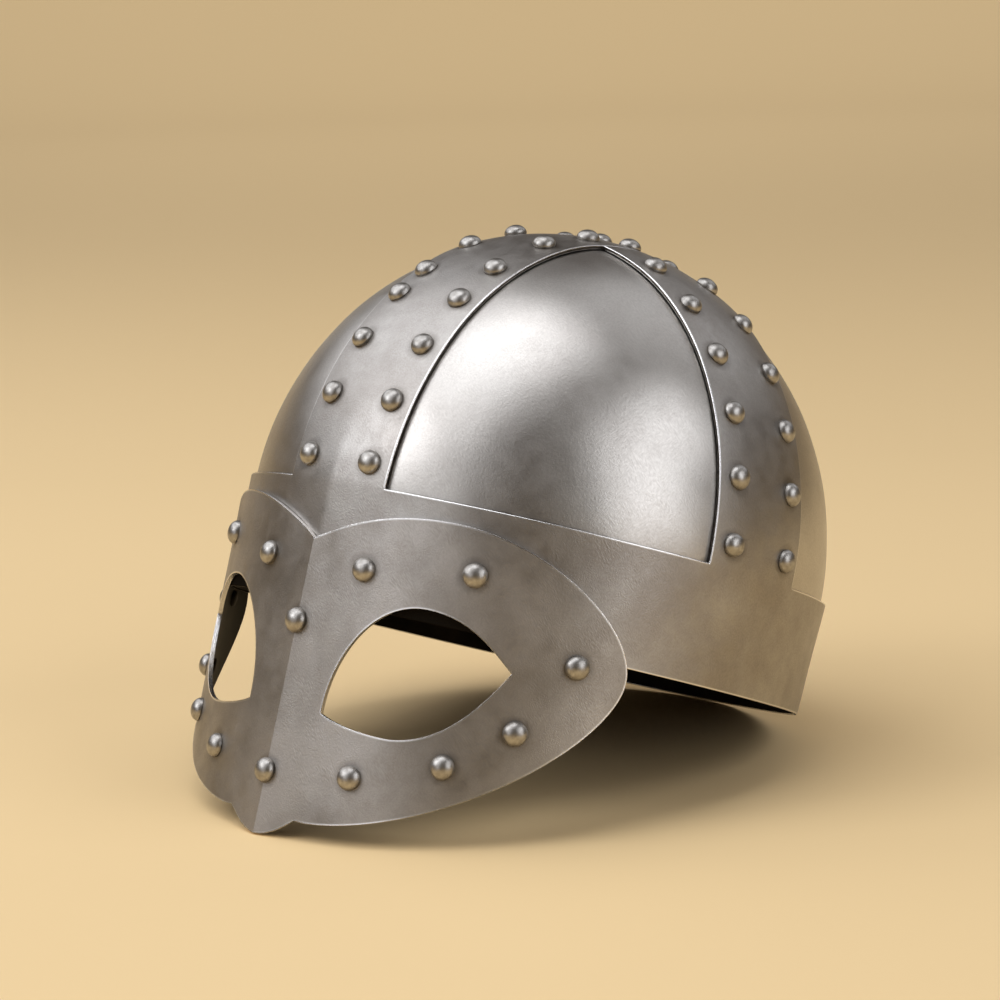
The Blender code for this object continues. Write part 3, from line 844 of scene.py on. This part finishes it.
def new_steel(name):
    """A material with a metallic Principled shader, its tree, its shader, and where a point is."""
    material = bpy.data.materials.new(name)
    material.use_nodes = True
    tree = material.node_tree
    shader = tree.nodes["Principled BSDF"]
    shader.inputs["Metallic"].default_value = 1.0
    return material, tree, shader, add_node(tree, "ShaderNodeTexCoord", give="Object")


print("mid grey #808080 in linear light:", round(linear("#808080")[0], 4))

# %% [markdown]
# ## Mixing steel
# The helmet is mild steel sheet, ground with fine grit and then oiled. It is bright on the worn corners of
# its cut edges, as wear and as a painted highlight brighter than steel can be, dull on the sheared faces
# between them, and darker round the rivets, as dirt and as painted shade where the heads meet the sheet.
# Inside it is coloured almost black as painted shade, and so is the brow behind the guard. Its grain is short
# and runs every way, as a pad in the hand leaves it. A picture of scratched metal would be quicker, but noise
# on the object's own axes has no seam.
# Such scratches are about 0.1 mm wide, too fine to show from here, so they are drawn 0.5 mm wide.

# %% Hand grain, and what ground steel shares
GRAIN = 0.5 * MM
GRAIN_LENGTH = 1.6 * MM
STROKE_PATCH = 9 * MM
STROKE_TURNS = ((0.3, 0.9, 0.2), (1.2, -0.5, 1.4), (-0.7, 0.4, 2.4))
CLOUD = 38 * MM
MOTTLE = 6 * MM
TOOTH = 0.07 * MM


def hand_grain(tree, place):
    """Short strokes in three directions. A slow noise picks the first where it is low, the third where it is
    high, and the second between."""
    strokes = []
    thin = (GRAIN_LENGTH, GRAIN, GRAIN)
    as_texture = {"vector_type": "TEXTURE"}
    for turn in STROKE_TURNS:
        laid = add_node(tree, "ShaderNodeMapping", as_texture, Vector=place, Rotation=turn, Scale=thin)
        strokes.append(add_node(tree, NOISE, Vector=laid, Scale=1.0, Detail=2.0))
    where = add_node(tree, NOISE, Vector=place, Scale=1 / STROKE_PATCH, Detail=1.0)
    first = add_node(tree, RANGE, Value=where, From_Min=0.42, From_Max=0.52)
    second = add_node(tree, RANGE, Value=where, From_Min=0.50, From_Max=0.60)
    pair = add_node(tree, MIX, i0=first, i2=strokes[0], i3=strokes[1])
    return add_node(tree, MIX, i0=second, i2=pair, i3=strokes[2])


def ground(tree, place):
    """The three patterns of ground sheet: slow clouds, small mottles and the grain."""
    cloud = add_node(tree, NOISE, Vector=place, Scale=1 / CLOUD, Detail=4.0, Roughness=0.55)
    mottle = add_node(tree, NOISE, Vector=place, Scale=1 / MOTTLE, Detail=3.0)
    return cloud, mottle, hand_grain(tree, place)


def ground_roughness(tree, mottle, grain, low, high):
    """Roughness from low to high over the mottles, plus or minus 0.03 over the grain."""
    patchy = add_node(tree, RANGE, Value=mottle, From_Min=0.3, From_Max=0.7, To_Min=low, To_Max=high)
    scored = add_node(tree, RANGE, Value=grain, From_Min=0.3, From_Max=0.7, To_Min=0.03, To_Max=-0.03)
    return add_node(tree, MATHS, {"operation": "ADD"}, i0=patchy, i1=scored)


def ragged(tree, mark, mottle, low, high):
    """A mark's distance plus low to high mm over the mottles, so that no dark line of dirt and painted shade
    runs true.
    """
    distance = add_node(tree, MARK, {"attribute_name": mark}, "Fac")
    wander = add_node(tree, RANGE, Value=mottle, From_Min=0.2, From_Max=0.8, To_Min=low, To_Max=high)
    return add_node(tree, MATHS, {"operation": "ADD"}, i0=distance, i1=wander)


print("width of a stroke and of a cloud in mm:", round(GRAIN / MM, 2), round(CLOUD / MM, 1))

# %% The steel of bands and guard


def satin_steel(name, light, dark, roughness, shade_behind_guard=False):
    """Mild steel sheet, ground by hand: it gives the eye a soft, broken sheen. Its clouds go from light to
    dark, and the last argument adds painted shade behind the guard, where the band is almost black, dull
    steel that is not metal."""
    material, tree, shader, place = new_steel(name)
    cloud, mottle, grain = ground(tree, place)
    colour = cover(tree, linear(dark), linear(light), cloud, 0.35, 0.65)
    colour = cover(tree, colour, linear(dark), mottle, 0.35, 0.7, 0.0, 0.25)
    colour = cover(tree, colour, linear("#544F49"), grain, 0.35, 0.65, 0.16, 0.0)
    rough = ground_roughness(tree, mottle, grain, roughness - 0.03, roughness + 0.05)
    # worn cut edges are brighter, and the near-white colour and low roughness also paint a highlight there,
    # brighter than steel can be
    edge = add_node(tree, MARK, {"attribute_name": "edge_mm"}, "Fac")
    worn_edge_and_highlight = add_node(tree, RANGE, Value=edge, From_Min=0.2, From_Max=0.75, To_Min=0.95, To_Max=0.0)
    colour = add_node(tree, MIX, COLOURS, 2, i0=worn_edge_and_highlight, i6=colour, i7=linear("#F7F5F2"))
    rough = add_node(tree, MIX, i0=worn_edge_and_highlight, i2=rough, i3=0.26)
    # darker round the rivets: dirt, and painted shade where the heads meet the sheet
    rivet_dirt_and_shade = ragged(tree, "rivet_mm", mottle, -1.2, 1.2)
    colour = cover(tree, colour, linear("#5F5850"), rivet_dirt_and_shade, -0.6, 2.4, 0.55, 0.0)
    # painted shade behind the guard: where the guard covers the brow, the band is coloured almost black, dull
    # and not metal
    if shade_behind_guard:
        depth = add_node(tree, MARK, {"attribute_name": "hidden_mm"}, "Fac")
        guard_shade_share = add_node(tree, RANGE, Value=depth, From_Min=0.8, From_Max=3.0)
        colour = add_node(tree, MIX, COLOURS, 2, i0=guard_shade_share, i6=colour, i7=linear("#181511"))
        metal_share = add_node(tree, MATHS, {"operation": "SUBTRACT"}, i0=1.0, i1=guard_shade_share)
        tree.links.new(metal_share, shader.inputs["Metallic"])
        shader.inputs["Specular IOR Level"].default_value = 0.0
    tree.links.new(colour, shader.inputs["Base Color"])
    tree.links.new(rough, shader.inputs["Roughness"])
    tooth = add_node(tree, "ShaderNodeBump", Strength=1.0, Distance=TOOTH, Height=grain)
    tree.links.new(tooth, shader.inputs["Normal"])
    return material


band_metal = satin_steel("ground mild steel, bands", "#BCB8B2", "#9E9891", 0.42, shade_behind_guard=True)
guard_metal = satin_steel("ground mild steel, guard", "#BEB9B3", "#938D85", 0.46)
print("nodes in the bands' steel:", len(band_metal.node_tree.nodes))

# %% The steel of the plates
PEBBLE = 1.1 * MM


def plate_steel():
    """The same sheet, ground brighter and finely pebbled by the planishing hammer: it gives the eye a broad,
    soft highlight that breaks up close to. Along the window's edge it is darker: grime, and painted shade
    where the band stands proud."""
    material, tree, shader, place = new_steel("ground mild steel, domed plates")
    cloud, mottle, grain = ground(tree, place)
    colour = cover(tree, linear("#BDB8B1"), linear("#CCC8C1"), cloud, 0.35, 0.65)
    colour = cover(tree, colour, linear("#5F5952"), grain, 0.35, 0.65, 0.16, 0.0)
    # darker along the window's edge: grime, and painted shade where the band stands proud of the plate
    window_dirt_and_shade = ragged(tree, "window_mm", mottle, -0.5, 0.9)
    colour = cover(tree, colour, linear("#423B34"), window_dirt_and_shade, -0.1, 0.8, 0.5, 0.0)
    tree.links.new(colour, shader.inputs["Base Color"])
    tree.links.new(ground_roughness(tree, mottle, grain, 0.35, 0.39), shader.inputs["Roughness"])
    pebbles = add_node(tree, NOISE, Vector=place, Scale=1 / PEBBLE, Detail=2.0)
    relief = add_node(tree, MATHS, {"operation": "ADD"}, i0=grain, i1=pebbles)
    tooth = add_node(tree, "ShaderNodeBump", Strength=0.45, Distance=TOOTH, Height=relief)
    tree.links.new(tooth, shader.inputs["Normal"])
    return material


plate_metal = plate_steel()
print("nodes in the plates' steel:", len(plate_metal.node_tree.nodes))

# %% The steel of rivets, insides and cut faces
PIT = 1.6 * MM
PIT_DEPTH = 0.05 * MM
SCALE_PATCH = 12 * MM
TEAR = 3 * MM


def rivet_steel():
    """Forged mild steel, rubbed by hands: it gives the eye a small, round highlight, with faint pits."""
    material, tree, shader, place = new_steel("rubbed forged steel, rivets")
    pits = add_node(tree, NOISE, Vector=place, Scale=1 / PIT, Detail=3.0)
    colour = cover(tree, linear("#99948D"), linear("#B3B0AA"), pits, 0.3, 0.7)
    rough = add_node(tree, RANGE, Value=pits, From_Min=0.3, From_Max=0.7, To_Min=0.42, To_Max=0.36)
    tree.links.new(colour, shader.inputs["Base Color"])
    tree.links.new(rough, shader.inputs["Roughness"])
    tooth = add_node(tree, "ShaderNodeBump", Strength=0.3, Distance=PIT_DEPTH, Height=pits)
    tree.links.new(tooth, shader.inputs["Normal"])
    return material


def inside_shade_steel():
    """Painted shade for the inside of every sheet and the rivets' tails: an almost black, dull surface that
    is not metal, in patches."""
    material, tree, shader, place = new_steel("painted shade, inside")
    patches = add_node(tree, NOISE, Vector=place, Scale=1 / SCALE_PATCH, Detail=3.0)
    # painted shade: the inside is coloured almost black
    colour = cover(tree, linear("#1D1914"), linear("#302922"), patches, 0.35, 0.65)
    tree.links.new(colour, shader.inputs["Base Color"])
    shader.inputs["Metallic"].default_value = 0.0
    shader.inputs["Roughness"].default_value = 0.6
    shader.inputs["Specular IOR Level"].default_value = 0.12
    return material


def sheared_steel():
    """Sheared mild steel, never polished, with old oil in its tears: it gives the eye a dull dark line."""
    material, tree, shader, place = new_steel("sheared mild steel, cut faces")
    tears = add_node(tree, NOISE, Vector=place, Scale=1 / TEAR, Detail=3.0)
    colour = cover(tree, linear("#3E3832"), linear("#6E675F"), tears, 0.35, 0.65)
    tree.links.new(colour, shader.inputs["Base Color"])
    shader.inputs["Roughness"].default_value = 0.5
    return material


rivet_metal = rivet_steel()
inside_shade_metal = inside_shade_steel()
sheared_metal = sheared_steel()
print("small steels:", [metal.name for metal in (rivet_metal, inside_shade_metal, sheared_metal)])

# %% Each piece gets its steels
# outside, inside and cut faces of a sheet, and head and tails of a rivet
steels = {
    band_frame: (band_metal, inside_shade_metal, sheared_metal),
    guard: (guard_metal, inside_shade_metal, guard_metal),
}
steels |= {piece: (plate_metal, inside_shade_metal, sheared_metal) for piece in plates}
steels |= {piece: (rivet_metal, inside_shade_metal) for piece in rivet_pieces}
for piece, metals in steels.items():
    for metal in metals:
        piece.data.materials.append(metal)
print("pieces with their steels:", len(steels))

# %% [markdown]
# ## The set
# Ground metal shows the room more than itself. The helmet stands on a pale, matt floor that rises softly
# far behind it. A wall would leave a corner for the steel to mirror, and this has none.

# %% Floor
FLOOR_EDGE = 3.0
FLOOR_RUN = 2.0
FLOOR_END = 5.5
FLOOR_RISE = 0.7
FLAT_RINGS = 6
RISING_RINGS = 24
SPOKES = 97


def floor_height(distance):
    """Flat out to the edge, then rise x s^2 (3 - 2s), where s goes from 0 to 1 over the next two metres."""
    share = np.clip((distance - FLOOR_EDGE) / FLOOR_RUN, 0.0, 1.0)
    return FLOOR_RISE * share**2 * (3.0 - 2.0 * share)


rising = np.linspace(FLOOR_EDGE, FLOOR_END, RISING_RINGS)[1:]
distance = np.concatenate((np.linspace(0.0, FLOOR_EDGE, FLAT_RINGS), rising))[:, None]
bearing = np.linspace(0.0, 2 * math.pi, SPOKES)
floor_parts = (distance * np.cos(bearing), distance * np.sin(bearing), floor_height(distance))
floor_points, floor_faces = weld_solid(np.stack(np.broadcast_arrays(*floor_parts), axis=-1))
floor_mesh = bpy.data.meshes.new("floor")
floor_mesh.from_pydata(floor_points.tolist(), [], clean_faces(floor_faces))
floor_mesh.shade_smooth()
floor = bpy.data.objects.new("floor", floor_mesh)
bpy.context.scene.collection.objects.link(floor)
paper = bpy.data.materials.new("matt paper, pale sand")
paper.use_nodes = True
paper_shader = paper.node_tree.nodes["Principled BSDF"]
paper_shader.inputs["Base Color"].default_value = linear("#F0D19B")
paper_shader.inputs["Roughness"].default_value = 0.95
floor_mesh.materials.append(paper)
print("floor, faces:", len(floor_faces))

# %% [markdown]
# ## The lights
# One big lamp would give a hard, lonely highlight. So nine soft panels stand round the helmet, each as
# strong as the steel that mirrors it has to look: overhead, in front, at the sides, and a dim one behind. A
# tenth lights the floor far behind, and a weak, warm room fills the rest. The camera's own side stays dark,
# which draws the dark diagonal over the front plate.

# %% Lights
PANEL_COLOUR = "#F4F7FF"
ROOM_COLOUR = "#C8A26C"
ROOM_STRENGTH = 0.07
HELMET_MIDDLE = (0.0, 0.0, 0.09)
FAR_FLOOR = (-3.2, 3.2, 0.2)
PANELS = (
    # name, azimuth, elevation, distance, width, height, brightness, aim
    ("overhead", 180, 88, 1.8, 1.0, 1.0, 3.05),
    ("front high", 202, 60, 1.8, 1.4, 0.8, 1.95),
    ("right high", 270, 60, 1.8, 0.75, 0.8, 1.7),
    ("front right", 210, 36, 1.8, 0.8, 0.75, 4.3),
    ("right", 260, 37, 1.8, 1.6, 0.8, 1.8),
    ("front", 180, 25, 1.8, 0.9, 1.35, 0.97),
    ("left", 90, 14, 1.8, 0.95, 0.6, 2.75),
    ("left high", 75, 36, 1.8, 1.55, 0.75, 2.3),
    ("rear", 4, 42, 1.8, 1.1, 1.5, 0.85),
    ("backdrop", 135, 42, 2.8, 3.6, 1.2, 3.3, FAR_FLOOR),
)


def soft_panel(name, azimuth, elevation, distance, width, height, brightness, aim=HELMET_MIDDLE):
    """A panel that faces its aim. The azimuth runs from +Y round by +X, and its place is the aim plus
    distance x (sin az cos el, cos az cos el, sin el). The brightness is what it sends each way, so its watts
    are brightness x pi x area."""
    data = bpy.data.lights.new(name, "AREA")
    data.shape = "RECTANGLE"
    data.size, data.size_y = width, height
    data.energy = brightness * math.pi * width * height
    data.color = linear(PANEL_COLOUR)[:3]
    lamp = bpy.data.objects.new(name, data)
    across, up = math.radians(azimuth), math.radians(elevation)
    direction = np.array((math.sin(across) * math.cos(up), math.cos(across) * math.cos(up), math.sin(up)))
    lamp.location = np.array(aim) + distance * direction
    lamp.rotation_euler = (math.pi / 2 - up, 0.0, math.pi - across)
    bpy.context.scene.collection.objects.link(lamp)


for panel in PANELS:
    soft_panel(*panel)
world = bpy.data.worlds.new("studio")
world.use_nodes = True
room = world.node_tree.nodes["Background"]
room.inputs["Color"].default_value = linear(ROOM_COLOUR)
room.inputs["Strength"].default_value = ROOM_STRENGTH
bpy.context.scene.world = world
bpy.context.scene.view_settings.view_transform = "Standard"
print("panels:", len(PANELS), "- watts of the strongest:", round(max(l.energy for l in bpy.data.lights), 1))

# %% [markdown]
# ## The camera
# The helmet is seen from its front left and a little above. A short lens close up would swell the near eye
# opening, so a long one looks from about 1.2 m. It was fitted to the rivet rows and the windows' corners.

# %% Camera
LENS = 117.916
SENSOR_WIDTH = 36.0
CAMERA_PLACE = (0.8064, -0.8243, 0.3208)
CAMERA_ANGLES = (78.891, 1.672, 44.175)
eye = bpy.data.cameras.new("camera")
eye.lens = LENS
eye.sensor_width = SENSOR_WIDTH
camera = bpy.data.objects.new("camera", eye)
camera.location = CAMERA_PLACE
camera.rotation_euler = tuple(math.radians(angle) for angle in CAMERA_ANGLES)
bpy.context.scene.collection.objects.link(camera)
bpy.context.scene.camera = camera
print("camera's distance in metres:", round(float(np.linalg.norm(CAMERA_PLACE)), 2))

# %% The end
bpy.context.view_layer.update()
